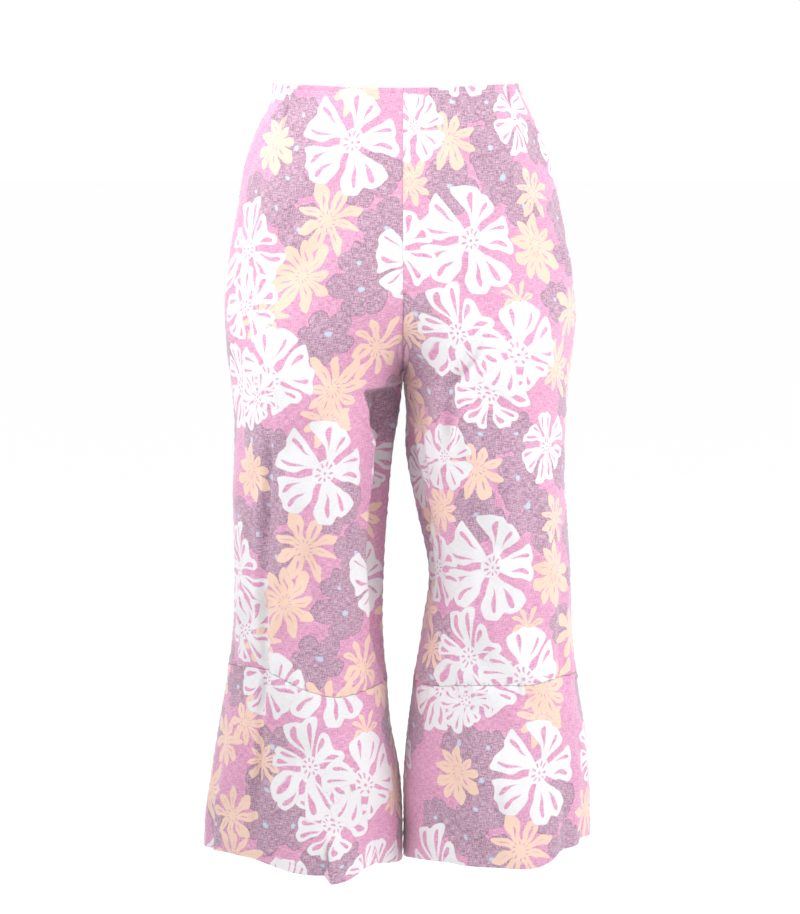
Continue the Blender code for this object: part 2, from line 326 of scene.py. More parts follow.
# Dark and light threads of each dyed colour, and the pigments printed over them
MAUVE_DARK = (0.315, 0.182, 0.260, 1.0)
MAUVE_LIGHT = (0.570, 0.395, 0.490, 1.0)
MAUVE_RIM = (0.240, 0.125, 0.190, 1.0)
GROUND_DEEP = (0.560, 0.240, 0.390, 1.0)
GROUND_LIGHT = (0.685, 0.385, 0.525, 1.0)
PEACH = (0.765, 0.555, 0.440, 1.0)
WHITE = (0.705, 0.704, 0.712, 1.0)
PALE_DOT = (0.480, 0.560, 0.680, 1.0)
WRONG_SIDE = (0.800, 0.560, 0.680, 1.0)
RIM_STRENGTH = 0.45
SLUBS_PER_METRE = 1700.0  # threads thick enough to see


def mixed(tree, share, one, other):
    """Two colours, or a colour over what lies beneath it."""
    inputs = {0: share, 6: one, 7: other}  # the sockets that a mix of colours has
    node = add_node(tree, "ShaderNodeMix", inputs, data_type="RGBA")
    return node.outputs[2]


def threads(tree, place, across, down, detail):
    """Uneven lines of thread: noise drawn out along one way of the cloth."""
    stretch = {0: place, 1: (across, down, 1.0)}
    stretched = add_node(tree, "ShaderNodeVectorMath", stretch, operation="MULTIPLY")
    noise = add_node(
        tree, "ShaderNodeTexNoise",
        {"Vector": stretched.outputs[0], "Scale": 1.0, "Detail": detail, "Roughness": 0.6},
        noise_dimensions="2D",
    )
    return Number(tree, noise.outputs["Fac"])


cloth_print, start, end = new_group(
    "printed slub cotton", "Place", Colour="Color", Relief="Float"
)
place = start.outputs["Place"]
warp = threads(cloth_print, place, SLUBS_PER_METRE, SLUBS_PER_METRE / 9, 2.0)
weft = threads(cloth_print, place, SLUBS_PER_METRE / 12, SLUBS_PER_METRE * 0.9, 2.0)
fleck = (warp.step(0.40, 0.64) + weft.step(0.40, 0.62)) * 0.5
relief = warp * 0.5 + weft * 0.5
mauve = mixed(cloth_print, fleck.step(0.12, 0.88), MAUVE_DARK, MAUVE_LIGHT)
ground = mixed(cloth_print, fleck.step(0.05, 0.85), GROUND_DEEP, GROUND_LIGHT)
colour = ground
DRAWINGS = {"mauve": mauve_flower, "peach": peach_flower, "white": white_flower}
INKS = {"peach": PEACH, "white": WHITE}
for name in LAYER_NAMES:
    kind = name.split("_")[0]
    flower = add_node(cloth_print, "ShaderNodeAttribute", {}, attribute_name=name)
    spot = {0: flower.outputs["Vector"]}
    drawing = add_node(cloth_print, "ShaderNodeGroup", spot, node_tree=DRAWINGS[kind])
    drawn = {socket.name: Number(cloth_print, socket) for socket in drawing.outputs}
    if kind == "mauve":
        lobes = mixed(cloth_print, drawn["Rim"] * RIM_STRENGTH, mauve, MAUVE_RIM)
        lobes = mixed(cloth_print, drawn["Dot"], lobes, PALE_DOT)
        colour = mixed(cloth_print, drawn["Ink"], colour, lobes)
    else:
        petals = mixed(cloth_print, drawn["Ink"], ground, INKS[kind])
        colour = mixed(cloth_print, drawn["Shape"], colour, petals)
shade = {0: colour, "Scale": fleck.step(-0.2, 1.0) * 0.10 + 0.90}
shaded = add_node(cloth_print, "ShaderNodeVectorMath", shade, operation="SCALE")
set_inputs(cloth_print, end, {"Colour": shaded.outputs[0], "Relief": relief})

COTTON_ROUGHNESS = 0.88
COTTON_SHEEN = 0.35
THREAD_RELIEF = 0.0004
FAINT_BEHIND = 0.72  # how far the wrong side hides the print


def new_material(name):
    material = bpy.data.materials.new(name)
    material.use_nodes = True
    return material, material.node_tree, material.node_tree.nodes["Principled BSDF"]


def cotton(name, faintness):
    """The cloth's right side, or its wrong side where the print is faint."""
    material, tree, shader = new_material(name)
    chart = add_node(tree, "ShaderNodeUVMap", {}, uv_map="cloth")
    pattern = add_node(tree, "ShaderNodeGroup", {0: chart.outputs[0]}, node_tree=cloth_print)
    relief = {"Strength": 0.5, "Distance": THREAD_RELIEF, "Height": pattern.outputs[1]}
    set_inputs(tree, shader, {
        "Base Color": mixed(tree, faintness, pattern.outputs[0], WRONG_SIDE),
        "Roughness": COTTON_ROUGHNESS,
        "Specular IOR Level": 0.25,
        "Sheen Weight": COTTON_SHEEN,
        "Sheen Roughness": 0.45,
        "Normal": add_node(tree, "ShaderNodeBump", relief).outputs[0],
    })
    return material


RIGHT_SIDE = cotton("printed_cotton_right_side", 0.0)
WRONG_SIDE_CLOTH = cotton("printed_cotton_wrong_side", FAINT_BEHIND)

# ---------------------------------------------------------------------------
# The four main panels, waist to below the knee, filled out by the wearer's hips and
# legs. Each is cut from the cotton, has one dart at the waist, is sewn to its
# neighbours down its long edges, and is turned in at the waist.

# The outline at each level below the waist edge, in metres: side seams and inner legs from
# the centre line, greatest depth before and behind the origin, and that of the side seam
LEVEL_COLUMNS = (
    "drop", "out_left", "out_right", "in_left", "in_right", "front", "back", "side",
)
LEVELS = (
    (0.000, 0.131, 0.115, 0.0000, 0.0000, 0.090, 0.087, 0.000),
    (0.016, 0.131, 0.121, 0.0000, 0.0000, 0.092, 0.088, 0.000),
    (0.045, 0.146, 0.135, 0.0000, 0.0000, 0.097, 0.092, 0.001),
    (0.080, 0.158, 0.148, 0.0000, 0.0000, 0.101, 0.099, 0.002),
    (0.125, 0.166, 0.158, 0.0000, 0.0000, 0.104, 0.110, 0.004),
    (0.175, 0.175, 0.167, 0.0000, 0.0000, 0.104, 0.122, 0.006),
    (0.225, 0.179, 0.174, 0.0000, 0.0000, 0.101, 0.128, 0.008),
    (0.260, 0.178, 0.172, 0.0000, 0.0000, 0.098, 0.126, 0.008),
    (0.296, 0.174, 0.168, 0.0000, 0.0000, 0.096, 0.120, 0.008),
    (0.330, 0.171, 0.165, 0.0037, 0.0032, 0.094, 0.112, 0.007),
    (0.370, 0.171, 0.163, 0.0105, 0.0026, 0.091, 0.103, 0.006),
    (0.430, 0.172, 0.166, 0.0154, 0.0138, 0.087, 0.093, 0.004),
    (0.490, 0.171, 0.170, 0.0194, 0.0262, 0.084, 0.087, 0.003),
    (0.550, 0.173, 0.172, 0.0204, 0.0195, 0.083, 0.086, 0.003),
    (0.600, 0.179, 0.177, 0.0170, 0.0118, 0.084, 0.091, 0.004),
    (0.650, 0.188, 0.185, 0.0125, 0.0050, 0.087, 0.097, 0.004),
    (0.700, 0.196, 0.190, 0.0033, 0.0008, 0.091, 0.102, 0.004),
    (0.740, 0.202, 0.192, 0.0008, 0.0006, 0.094, 0.105, 0.004),
    (0.795, 0.206, 0.192, 0.0006, 0.0006, 0.097, 0.107, 0.004),
)
RISE = 0.296  # waist edge to crotch
CROTCH_TURN = 0.130  # height over which the centre seams turn in under the body
SEAM_GAP = 0.00004
# How far below the waist edge each edge lies, at even shares of the way from the centre or
# inner leg to the side seam
EDGE_LINES = {
    ("waist", "front"): (0.005, 0.004, 0.002, 0.001, 0.000),
    ("waist", "back"): (0.004, 0.004, 0.003, 0.001, 0.000),
    ("knee", "front_left"): (0.600, 0.603, 0.606, 0.608, 0.599, 0.585, 0.581, 0.584, 0.588),
    ("knee", "front_right"): (0.602, 0.601, 0.600, 0.596, 0.595, 0.596, 0.593, 0.593, 0.595),
    ("knee", "back_left"): (0.600, 0.594, 0.590, 0.588, 0.588),
    ("knee", "back_right"): (0.602, 0.597, 0.593, 0.594, 0.595),
    ("hem", "front_left"): (0.790, 0.786, 0.780, 0.786, 0.783, 0.772, 0.768, 0.772, 0.776),
    ("hem", "front_right"): (0.788, 0.781, 0.776, 0.776, 0.777, 0.778, 0.767, 0.763, 0.765),
    ("hem", "back_left"): (0.790, 0.782, 0.776, 0.777, 0.776),
    ("hem", "back_right"): (0.788, 0.782, 0.777, 0.771, 0.765),
}
# Shares at which a dart starts and ends, its length, the depth of its groove and the cloth
# that it takes up
Dart = namedtuple("Dart", "top tip tip_drop depth intake")
DARTS = {
    "front_left": Dart(0.67, 0.57, 0.075, 0.0055, 0.012),
    "front_right": Dart(0.69, 0.585, 0.072, 0.0055, 0.012),
    "back_left": Dart(0.50, 0.48, 0.095, 0.0016, 0.016),
    "back_right": Dart(0.50, 0.48, 0.095, 0.0016, 0.016),
}
# Share of the way to the side seam and level of each end, half width and height in metres
Fold = namedtuple("Fold", "top top_drop foot foot_drop half_width height")
FOLDS = {
    "front_left": (
        (0.66, 0.350, 0.70, 0.640, 0.018, -0.0050),
        (0.30, 0.300, 0.20, 0.520, 0.020, -0.0060),
        (0.42, 0.320, 0.34, 0.560, 0.020, 0.0030),
        (0.70, 0.560, 0.64, 0.860, 0.018, -0.0040),
        (0.88, 0.640, 0.90, 0.900, 0.018, -0.0060),
    ),
    "front_right": (
        (0.30, 0.240, 0.33, 0.430, 0.020, 0.0040),
        (0.20, 0.300, 0.16, 0.500, 0.018, -0.0060),
        (0.76, 0.660, 0.74, 0.900, 0.020, -0.0060),
        (0.34, 0.620, 0.30, 0.900, 0.024, -0.0040),
    ),
    "back_left": (
        (0.35, 0.330, 0.22, 0.480, 0.024, -0.0050),
        (0.62, 0.400, 0.66, 0.640, 0.022, -0.0040),
        (0.30, 0.600, 0.28, 0.900, 0.026, -0.0070),
        (0.66, 0.620, 0.68, 0.900, 0.026, -0.0070),
    ),
    "back_right": (
        (0.36, 0.320, 0.24, 0.500, 0.024, -0.0050),
        (0.60, 0.380, 0.68, 0.620, 0.022, -0.0040),
        (0.36, 0.600, 0.34, 0.900, 0.026, -0.0070),
        (0.72, 0.620, 0.74, 0.900, 0.026, -0.0070),
    ),
}
# Finer creases: soft troughs with a low ridge beside them, in the same terms
CREASES = {
    "front_left": (
        (0.68, 0.330, 0.700, 0.500, 0.0042, -0.0046),
        (0.700, 0.470, 0.680, 0.640, 0.0038, -0.0046),
        (0.68, 0.590, 0.655, 0.760, 0.0042, -0.0038),
        (0.36, 0.350, 0.30, 0.520, 0.0120, -0.0045),
        (0.46, 0.410, 0.40, 0.600, 0.0100, 0.0030),
        (0.84, 0.420, 0.80, 0.600, 0.0090, 0.0028),
        (0.16, 0.285, 0.30, 0.345, 0.0060, -0.0020),
        (0.10, 0.300, 0.24, 0.390, 0.0060, -0.0024),
        (0.08, 0.330, 0.17, 0.440, 0.0060, -0.0022),
        (0.50, 0.395, 0.60, 0.470, 0.0070, -0.0012),
        (0.34, 0.520, 0.50, 0.565, 0.0070, -0.0012),
        (0.88, 0.300, 0.80, 0.400, 0.0080, -0.0014),
        (0.78, 0.120, 0.90, 0.180, 0.0080, -0.0010),
        (0.25, 0.690, 0.20, 0.800, 0.0060, -0.0016),
    ),
    "front_right": (
        (0.36, 0.240, 0.33, 0.400, 0.0080, -0.0055),
        (0.44, 0.420, 0.40, 0.600, 0.0110, -0.0035),
        (0.60, 0.330, 0.56, 0.520, 0.0120, 0.0030),
        (0.84, 0.440, 0.80, 0.640, 0.0090, -0.0030),
        (0.12, 0.285, 0.33, 0.330, 0.0060, -0.0018),
        (0.10, 0.305, 0.26, 0.385, 0.0060, -0.0024),
        (0.08, 0.345, 0.20, 0.450, 0.0060, -0.0024),
        (0.26, 0.400, 0.16, 0.500, 0.0060, -0.0016),
        (0.40, 0.440, 0.58, 0.480, 0.0080, -0.0012),
        (0.70, 0.380, 0.62, 0.560, 0.0070, -0.0012),
        (0.52, 0.620, 0.47, 0.790, 0.0060, -0.0014),
        (0.86, 0.640, 0.88, 0.780, 0.0060, -0.0016),
        (0.80, 0.110, 0.92, 0.170, 0.0080, -0.0010),
    ),
    "back_left": (
        (0.12, 0.290, 0.40, 0.350, 0.0070, -0.0024),
        (0.10, 0.320, 0.30, 0.410, 0.0070, -0.0022),
        (0.20, 0.470, 0.70, 0.455, 0.0080, -0.0018),
        (0.16, 0.510, 0.62, 0.500, 0.0080, -0.0022),
        (0.30, 0.548, 0.80, 0.540, 0.0070, -0.0014),
        (0.52, 0.620, 0.50, 0.780, 0.0070, -0.0016),
    ),
    "back_right": (
        (0.12, 0.290, 0.38, 0.355, 0.0070, -0.0024),
        (0.10, 0.325, 0.28, 0.420, 0.0070, -0.0020),
        (0.22, 0.460, 0.74, 0.480, 0.0080, -0.0018),
        (0.18, 0.505, 0.60, 0.520, 0.0080, -0.0022),
        (0.34, 0.552, 0.78, 0.535, 0.0070, -0.0014),
        (0.56, 0.630, 0.54, 0.790, 0.0070, -0.0016),
    ),
}
# The one fold that the hem makes, where the inner part of the panel lies over the outer
SHARP_FOLD = {
    "quarter": "front_left",
    "share": 0.42,
    "top_drop": 0.742,
    "foot_drop": 0.792,
    "step": 0.013,
    "step_width": 0.010,
    "fade_width": 0.20,
    "dip": 0.007,
    "hidden": 0.020,  # cloth taken up inside the fold at the hem
}


def smooth_between(knots, values, at):
    """Reads a smooth curve through (knots, values)."""
    knots, values = np.asarray(knots, float), np.asarray(values, float)
    each = np.arange(len(knots))
    before, after = np.maximum(each - 1, 0), np.minimum(each + 1, len(knots) - 1)
    slope = (values[after] - values[before]) / (knots[after] - knots[before])
    at = np.clip(at, knots[0], knots[-1])
    i = np.clip(np.searchsorted(knots, at, side="right") - 1, 0, len(knots) - 2)
    span = knots[i + 1] - knots[i]
    t = (at - knots[i]) / span
    start = (1 + 2 * t) * (1 - t) ** 2 * values[i] + t * (1 - t) ** 2 * span * slope[i]
    return start + t * t * (3 - 2 * t) * values[i + 1] + t * t * (t - 1) * span * slope[i + 1]


def level_value(column, drop):
    index = LEVEL_COLUMNS.index(column)
    return smooth_between([row[0] for row in LEVELS], [row[index] for row in LEVELS], drop)


def edge_drop(edge, quarter, share):
    line = EDGE_LINES[(edge, quarter)]
    return smooth_between(np.linspace(0, 1, len(line)), line, share)


Section = namedtuple("Section", "centre half deep seam_y angle")


def section(side, face, drop):
    """The half loop of a panel at each level: centre, half sizes and angle range."""
    name = "left" if side < 0 else "right"
    out = level_value("out_" + name, drop)
    seam_y = level_value("side", drop)
    depth = level_value("front" if face < 0 else "back", drop)
    deep = depth - face * seam_y
    above = np.clip((RISE - drop) / CROTCH_TURN, 0.0, 1.0)
    inner = np.where(
        drop >= RISE, np.maximum(level_value("in_" + name, drop), SEAM_GAP / 2), SEAM_GAP / 2
    )
    width = out - inner
    centre = width / 2 * (1 - above**2) ** 2
    half = width - centre
    angle = np.where(drop >= RISE, math.pi, np.arccos(np.clip(-centre / half, -1, 1)))
    return Section(inner + centre, half, deep, seam_y, angle)


def off_section(level, angle, lift):
    """Points at an angle round the half loop, lifted off it."""
    out_x, out_y = np.cos(angle) / level.half, np.sin(angle) / level.deep
    length = np.hypot(out_x, out_y)
    x = level.centre + level.half * np.cos(angle) + lift * out_x / length
    return x, level.deep * np.sin(angle) + lift * out_y / length


def bump_shape(distance):
    return np.where(np.abs(distance) < 1, np.cos(np.pi / 2 * np.clip(distance, -1, 1)) ** 2, 0)


def folds_at(quarter, drop, share, girth):
    """The main folds, the same ones as in the plain model."""
    lift = np.zeros_like(drop)
    for fold in map(Fold._make, FOLDS[quarter]):
        way = np.clip((drop - fold.top_drop) / (fold.foot_drop - fold.top_drop), 0, 1)
        middle = fold.top + (fold.foot - fold.top) * way
        across = (share - middle) * girth / fold.half_width
        lift += fold.height * bump_shape(across) * np.sin(np.pi * way) ** 0.7
    return lift


CREASE_WANDER = 0.0022  # how far a crease strays from its straight run
CREASE_UNEVEN = 0.3  # share by which its depth varies
RIDGE_SHARE = 0.45  # height of the ridge beside a trough, as a share of its depth


def creases_at(quarter, drop, share, girth):
    """Finer creases, at any slant, uneven along their run."""
    lift = np.zeros_like(drop)
    for number, crease in enumerate(map(Fold._make, CREASES[quarter])):
        run = np.array([
            (crease.foot - crease.top) * girth.mean(), crease.foot_drop - crease.top_drop,
        ])
        length = np.hypot(*run)
        right, down = run / length
        dx, dy = (share - crease.top) * girth, drop - crease.top_drop
        way = np.clip((dx * right + dy * down) / length, 0, 1)
        wander = CREASE_WANDER * np.sin(2 * np.pi * (1.3 * way + 0.37 * number))
        aside = (dx * down - dy * right + wander) / crease.half_width
        uneven = 1 + CREASE_UNEVEN * np.sin(2 * np.pi * (2.1 * way + 0.61 * number))
        strength = crease.height * uneven * np.sin(np.pi * way) ** 0.8
        lift += strength * bump_shape(aside / 1.6)
        lift -= RIDGE_SHARE * strength * bump_shape((aside - 1.9) / 1.8)
    return lift


# Long waves of cloth that touches the body only here and there: share and level waves
# per panel and metre, start, and height
SOFT_WAVES = (
    (1.3, 4.1, 0.15, 0.0014),
    (-1.9, 6.3, 0.50, 0.0012),
    (2.7, 9.7, 0.82, 0.0008),
    (-3.4, 15.1, 0.33, 0.0006),
    (4.6, -21.3, 0.67, 0.0004),
)


def waves_at(quarter, drop, share):
    start = 0.29 * list(FOLDS).index(quarter)
    lift = np.zeros_like(drop)
    for across, down, shift, height in SOFT_WAVES:
        lift += height * np.sin(2 * np.pi * (across * share + down * drop + shift + start))
    return lift


def sharp_fold_way(drop):
    span = SHARP_FOLD["foot_drop"] - SHARP_FOLD["top_drop"]
    return np.clip((drop - SHARP_FOLD["top_drop"]) / span, 0.0, 1.0)


def sharp_fold_part(drop, share):
    inwards = SHARP_FOLD["share"] - share
    rise = np.clip(inwards / SHARP_FOLD["step_width"], 0.0, 1.0)
    return sharp_fold_way(drop) * rise * bump_shape(inwards / SHARP_FOLD["fade_width"])


def sharp_fold_cloth(drop, share):
    """How much cloth lies hidden in the fold, for the print on the part that lies over it."""
    inwards = SHARP_FOLD["share"] - share
    over = (inwards > SHARP_FOLD["step_width"] / 2) & (inwards < SHARP_FOLD["fade_width"])
    return SHARP_FOLD["hidden"] * sharp_fold_way(drop) * over


# Hollows beside the inner seam of each leg, where the cloth of the thigh folds back
# under a soft edge: level, share at which the edge lies, and depth
TUCKS = {
    "front_left": (
        (0.299, 0.300, 0.000),
        (0.306, 0.296, 0.024),
        (0.330, 0.258, 0.026),
        (0.358, 0.215, 0.022),
        (0.380, 0.205, 0.019),
        (0.430, 0.210, 0.019),
        (0.500, 0.205, 0.019),
        (0.550, 0.170, 0.013),
        (0.600, 0.080, 0.000),
    ),
    "front_right": (
        (0.330, 0.120, 0.000),
        (0.355, 0.150, 0.007),
        (0.400, 0.175, 0.012),
        (0.440, 0.150, 0.010),
        (0.500, 0.110, 0.006),
        (0.580, 0.080, 0.000),
    ),
}
TUCK_EDGE = 0.007  # width of the folded edge
TUCK_SEAM_SHARE = 0.09  # share at which the hollow has come back to the seam


def tuck_at(quarter, drop, share, girth):
    """Depth of the hollow at each point."""
    if quarter not in TUCKS:
        return np.zeros_like(drop)
    levels, edges, depths = np.array(TUCKS[quarter]).T
    edge = np.interp(drop, levels, edges)
    inside = np.clip((edge - share) * girth / TUCK_EDGE, 0, 1)
    back = np.clip(share / TUCK_SEAM_SHARE, 0, 1)
    return np.interp(drop, levels, depths) * inside * inside * (3 - 2 * inside) * back


CLOTH = 0.0005  # thickness of the cotton
SEAM_ROLL = 0.0005  # how far the cloth dips into a seam
SEAM_ROLL_WIDTH = 0.0022
CROTCH_VALLEY = (0.235, 0.285, 0.024, 0.0055)  # start, end, depth and width: the seam pulls in
PUCKER_HEIGHT = 0.0010  # small gathers that a row of sewing leaves
PUCKER_PITCH = 0.013
PUCKER_WIDTH = 0.010
LONG_SEAM_PUCKERS = 0.35  # how strong they are down the long seams


def puckers(aside, along, start):
    """Short ripples at right angles to a seam, dying away from it."""
    wave = np.sin(2 * np.pi * along / PUCKER_PITCH + start)
    wave = wave + 0.6 * np.sin(2 * np.pi * along / (PUCKER_PITCH * 0.57) + 2.1 * start)
    return PUCKER_HEIGHT * wave * np.exp(-((aside / PUCKER_WIDTH) ** 2))


def lift_at(quarter, side, face, drop, share, knee_distance):
    """Everything that moves the cloth off its smooth form, at each point."""
    level = section(side, face, drop)
    girth = level.angle * np.sqrt((level.half * level.half + level.deep * level.deep) / 2)
    lift = folds_at(quarter, drop, share, girth)
    if quarter == SHARP_FOLD["quarter"]:
        lift = lift + SHARP_FOLD["step"] * sharp_fold_part(drop, share)
    lift = lift + creases_at(quarter, drop, share, girth) + waves_at(quarter, drop, share)
    lift = lift * np.clip(8 * share * (1 - share), 0, 1)  # all die away towards the seams
    from_seam = np.minimum(share, 1 - share) * girth
    lift = lift + puckers(knee_distance, share * girth, side + 2 * face)
    long_seams = puckers(from_seam, drop, 1.7 * side + face) * (from_seam > CLOTH)
    lift = lift + LONG_SEAM_PUCKERS * long_seams
    if face < 0:
        start, end, depth, width = CROTCH_VALLEY
        way = np.clip((drop - start) / (end - start), 0, 1) * (drop < RISE + width)
        lift = lift - depth * way * way * np.exp(-((share * girth / width) ** 2))
    return lift - SEAM_ROLL * (
        np.exp(-((from_seam / SEAM_ROLL_WIDTH) ** 2))
        + np.exp(-((knee_distance / SEAM_ROLL_WIDTH) ** 2))
    ).clip(0, 1)


LAYER_STEP = 0.00115  # from the right side of one layer to that of the layer turned under it
FINE_EDGE = (0.0, 0.0035, 0.008, 0.014, 0.022)  # shares of a panel's width beside a seam
ALLOWANCE = (0.060, 0.030, 0.004)  # shares at which the pressed seam allowance lies
DART_ROOM = (-0.016, -0.006, 0.0, 0.006, 0.016)  # shares of the columns beside a dart
DART_WIDTH = 0.005  # share that its groove takes
COLUMN_ROOM = 0.006  # no even column stands closer than this share to one of those
STITCH_DROP = 0.0060  # the topstitching's distance from the waist edge
STITCH_GROOVE = 0.0006
STITCH_GROOVE_WIDTH = 0.0016
PRINT_SPREAD = 1.02  # the cloth's width over its width as seen from the front
SEAM_PLANE_FADE = 0.006  # height over which the centre seam's plane lets go at the crotch
SEAM_PLANE_WIDTH = 0.03
ACROSS = 96  # even columns in a panel
KNEE_LEVEL = 0.7  # below all knee seams and above all hems


def panel_columns(marks):
    """Places across a panel, close together at the seams and beside dart or sharp fold."""
    fine = list(FINE_EDGE) + [1 - share for share in FINE_EDGE]
    near = [mark + room for mark in marks for room in DART_ROOM]
    even = [
        k / ACROSS for k in range(ACROSS + 1)
        if all(abs(k / ACROSS - other) > COLUMN_ROOM for other in fine + near)
    ]
    return np.array(sorted(fine + near + even))


def leaned_share(dart, share, drop):
    """Leans the columns so that one of them follows the dart."""
    down = np.minimum(drop / dart.tip_drop, 1.0)
    back = np.clip((drop - dart.tip_drop) / (RISE - dart.tip_drop), 0.0, 1.0)
    near = np.where(share < dart.top, share / dart.top, (1 - share) / (1 - dart.top))
    return share + (dart.tip - dart.top) * down * (1 - back) * near


def panel_grid(quarter, side, face, columns, row_shares, top, foot, edge_rows):
    """Points of a panel's right side, with its turned edges, and their places on the cloth.

    edge_rows are (level beyond the edge, lift) for the rows turned in, above and below.
    """
    dart = DARTS[quarter]
    folded = len(ALLOWANCE)
    share = np.concatenate([ALLOWANCE, columns, 1 - np.array(ALLOWANCE[::-1])])
    beyond = np.zeros_like(share)
    beyond[:folded] = beyond[-folded:] = LAYER_STEP
    above, below = edge_rows
    share = np.tile(share, (len(row_shares) + len(above) + len(below), 1))
    top_drop, foot_drop = top(share), foot(share)
    body = top_drop[0] + (foot_drop - top_drop)[0] * np.array(row_shares)[:, None]
    drop = np.vstack([
        top_drop[0] + np.array([row[0] for row in above])[:, None],
        body,
        foot_drop[0] + np.array([row[0] for row in below])[:, None],
    ])
    turned = [row[1] for row in above] + [0.0] * len(row_shares) + [row[1] for row in below]
    body_drop = np.clip(drop, 0.0, None)
    upper = foot_drop.max() < KNEE_LEVEL
    place = leaned_share(dart, share, body_drop) if upper else share
    knee = edge_drop("knee", quarter, share)
    lift = lift_at(quarter, side, face, body_drop, place, np.abs(body_drop - knee))
    if upper:
        fade = np.clip(1 - body_drop / dart.tip_drop, 0, 1)
        groove = np.exp(-(((share - dart.top) / DART_WIDTH) ** 2))
        from_stitches = np.clip(body_drop - top_drop, 0, None) - STITCH_DROP
        row_groove = np.exp(-((from_stitches / STITCH_GROOVE_WIDTH) ** 2))
        lift = lift - dart.depth * fade * groove - STITCH_GROOVE * row_groove
    lift = lift + np.array(turned)[:, None] - beyond[None, :]
    level = section(side, face, body_drop)
    angle = level.angle * (1 - place)
    from_seam = (angle[:, folded : folded + 1] - angle) / SEAM_PLANE_WIDTH
    flat_at_seam = np.clip((RISE - body_drop) / SEAM_PLANE_FADE, 0.0, 1.0) * np.exp(-(from_seam**2))

    def raised(lift):
        x, y = off_section(level, angle, lift)
        x = x - (x[:, folded : folded + 1] - SEAM_GAP / 2) * flat_at_seam
        return np.stack([side * x, level.seam_y + face * y, -drop], axis=-1)

    untucked = raised(lift)
    girth = level.angle * (level.half + level.deep) / 2
    points = raised(lift - tuck_at(quarter, body_drop, place, girth))

    # Places on the cloth: across from the panel's foremost line, and down
    steps = np.linalg.norm(np.diff(untucked, axis=1)[..., :2], axis=-1)
    steps[:, :folded] *= -1
    steps[:, -folded:] *= -1
    steps[:, folded - 1] = np.abs(steps[:, folded - 1])
    run = np.concatenate([np.zeros((len(points), 1)), np.cumsum(steps, axis=1)], axis=1)
    main = slice(folded, -folded)
    foremost = np.array([
        np.interp(np.pi / 2 - 1e-9, a[main][::-1], r[main][::-1]) for a, r in zip(angle, run)
    ])
    across = PRINT_SPREAD * level.centre + run - foremost[:, None]
    if quarter == SHARP_FOLD["quarter"]:
        across = across - sharp_fold_cloth(body_drop, share)
    return points, across, drop


def area_of(points):
    one = np.cross(points[1:, :-1] - points[:-1, :-1], points[:-1, 1:] - points[:-1, :-1])
    two = np.cross(points[1:, :-1] - points[1:, 1:], points[:-1, 1:] - points[1:, 1:])
    return (np.linalg.norm(one, axis=-1).sum() + np.linalg.norm(two, axis=-1).sum()) / 2


def put_in_scene(name, data):
    thing = bpy.data.objects.new(name, data)
    bpy.context.scene.collection.objects.link(thing)
    return thing


TURNINGS = 0.03  # cloth turned under at a panel's two ends


def cloth_panel(name, points, across, down, outwards, strip_name, print_shift, dart=None):
    """A panel with its print and thickness, its flat size and its area.

    dart is the Dart, the column that follows it and the way in which the print is taken up.
    """
    rows, columns = points.shape[:2]
    index = np.arange(rows * columns).reshape(rows, columns)
    corners = np.stack([index[:-1, :-1], index[1:, :-1], index[1:, 1:], index[:-1, 1:]], axis=-1)
    corners = corners.reshape(-1, 4)
    if outwards:
        corners = corners[:, ::-1]
    mesh = bpy.data.meshes.new(name)
    mesh.from_pydata(points.reshape(-1, 3).tolist(), [], corners.tolist())
    fabric = np.stack([across, down], axis=-1).reshape(-1, 2)[corners]
    if dart is not None:
        sewn, dart_column, way = dart
        column = np.tile(np.arange(columns - 1), rows - 1)
        fade = np.clip(1 - fabric[..., 1] / sewn.tip_drop, 0, 1)
        fabric[..., 0] += (column >= dart_column)[:, None] * fade * sewn.intake * way
    lay_print(mesh, fabric + np.array(print_shift), strip_name)
    mesh.materials.append(RIGHT_SIDE)
    mesh.materials.append(WRONG_SIDE_CLOTH)
    mesh.shade_smooth()
    panel = put_in_scene(name, mesh)
    wall = panel.modifiers.new("cloth", "SOLIDIFY")
    wall.thickness = CLOTH
    wall.offset = -1.0
    wall.material_offset = 1
    wall.material_offset_rim = 1
    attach(panel, "root")
    flat = (float(np.ptp(across)), float(np.ptp(down)) + TURNINGS)
    return panel, flat, float(area_of(points))


PRINT_LEAN = 0.029  # how far the print moves outwards with the leg, from hip to thigh
LEAN_RUN = (0.06, 0.36)


def print_lean(down):
    run = np.clip((down - LEAN_RUN[0]) / (LEAN_RUN[1] - LEAN_RUN[0]), 0, 1)
    return PRINT_LEAN * run * run * (3 - 2 * run)


SIDES = {"left": -1, "right": 1}
FACES = {"front": -1, "back": 1}
# Which strip of the print each panel is cut from, and how far along and down it
UPPER_CUTS = {
    "front_left": ("left", (0.0, 0.0)),
    "front_right": ("right", (0.0, 0.0)),
    "back_left": ("right", (0.060, 0.120)),
    "back_right": ("left", (-0.040, 0.170)),
}
# Rows of the turned edges: distance from the edge, and how far under the right side
WAIST_TURN = ((0.0120, -0.00115), (0.0080, -0.00115), (0.0040, -0.00115), (0.0012, -0.00112),
              (0.0004, -0.00100), (0.0000, -0.00075), (0.0000, -0.00035), (0.0003, -0.00010))
KNEE_TURN = ((-0.0040, -0.0016), (-0.0090, -0.0017))
UPPER_ROWS = 226
UPPER_SHARES = np.concatenate([[0.0015], np.linspace(0, 1, UPPER_ROWS)[1:-1], [0.9985, 1.0]])

